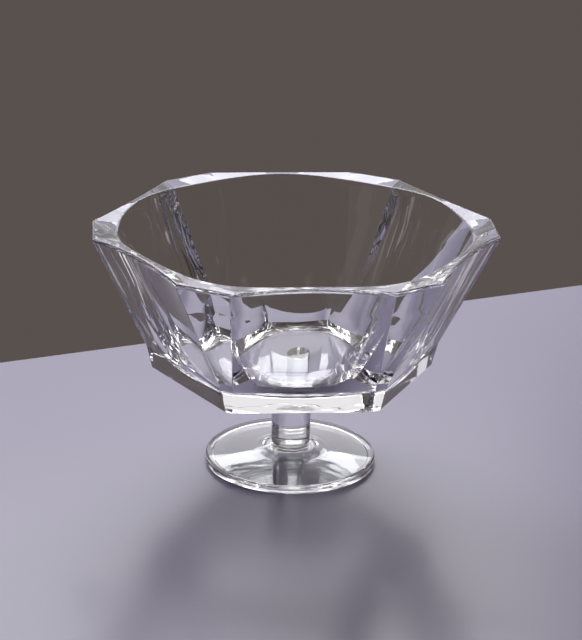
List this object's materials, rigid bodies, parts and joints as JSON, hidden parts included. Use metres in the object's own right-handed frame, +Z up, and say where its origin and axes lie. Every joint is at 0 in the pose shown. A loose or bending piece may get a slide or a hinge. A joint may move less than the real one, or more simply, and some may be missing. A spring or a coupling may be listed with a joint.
{
  "type": "footed fruit bowl",
  "caption": "Clear glass fruit bowl with a faceted, cut-corner hexagonal outside and a round inside, raised on a plain round stem and a disc foot.",
  "frame": {"origin": "centre of the flat rim that the foot rests on", "axes": "+Z up along the stem, through the centre of the bowl; one wide panel of the bowl faces -Y and two corner facets lie on +X and -X"},
  "size_m": [0.25, 0.2338, 0.1569],
  "materials": {
    "clear_glass": "polished, colourless",
    "clear_adhesive": "clear cured film"
  },
  "bodies": {
    "root": {"bowl": "clear_glass", "stem": "clear_glass", "foot": "clear_glass", "upper_bond": "clear_adhesive", "lower_bond": "clear_adhesive"}
  },
  "joints": []
}
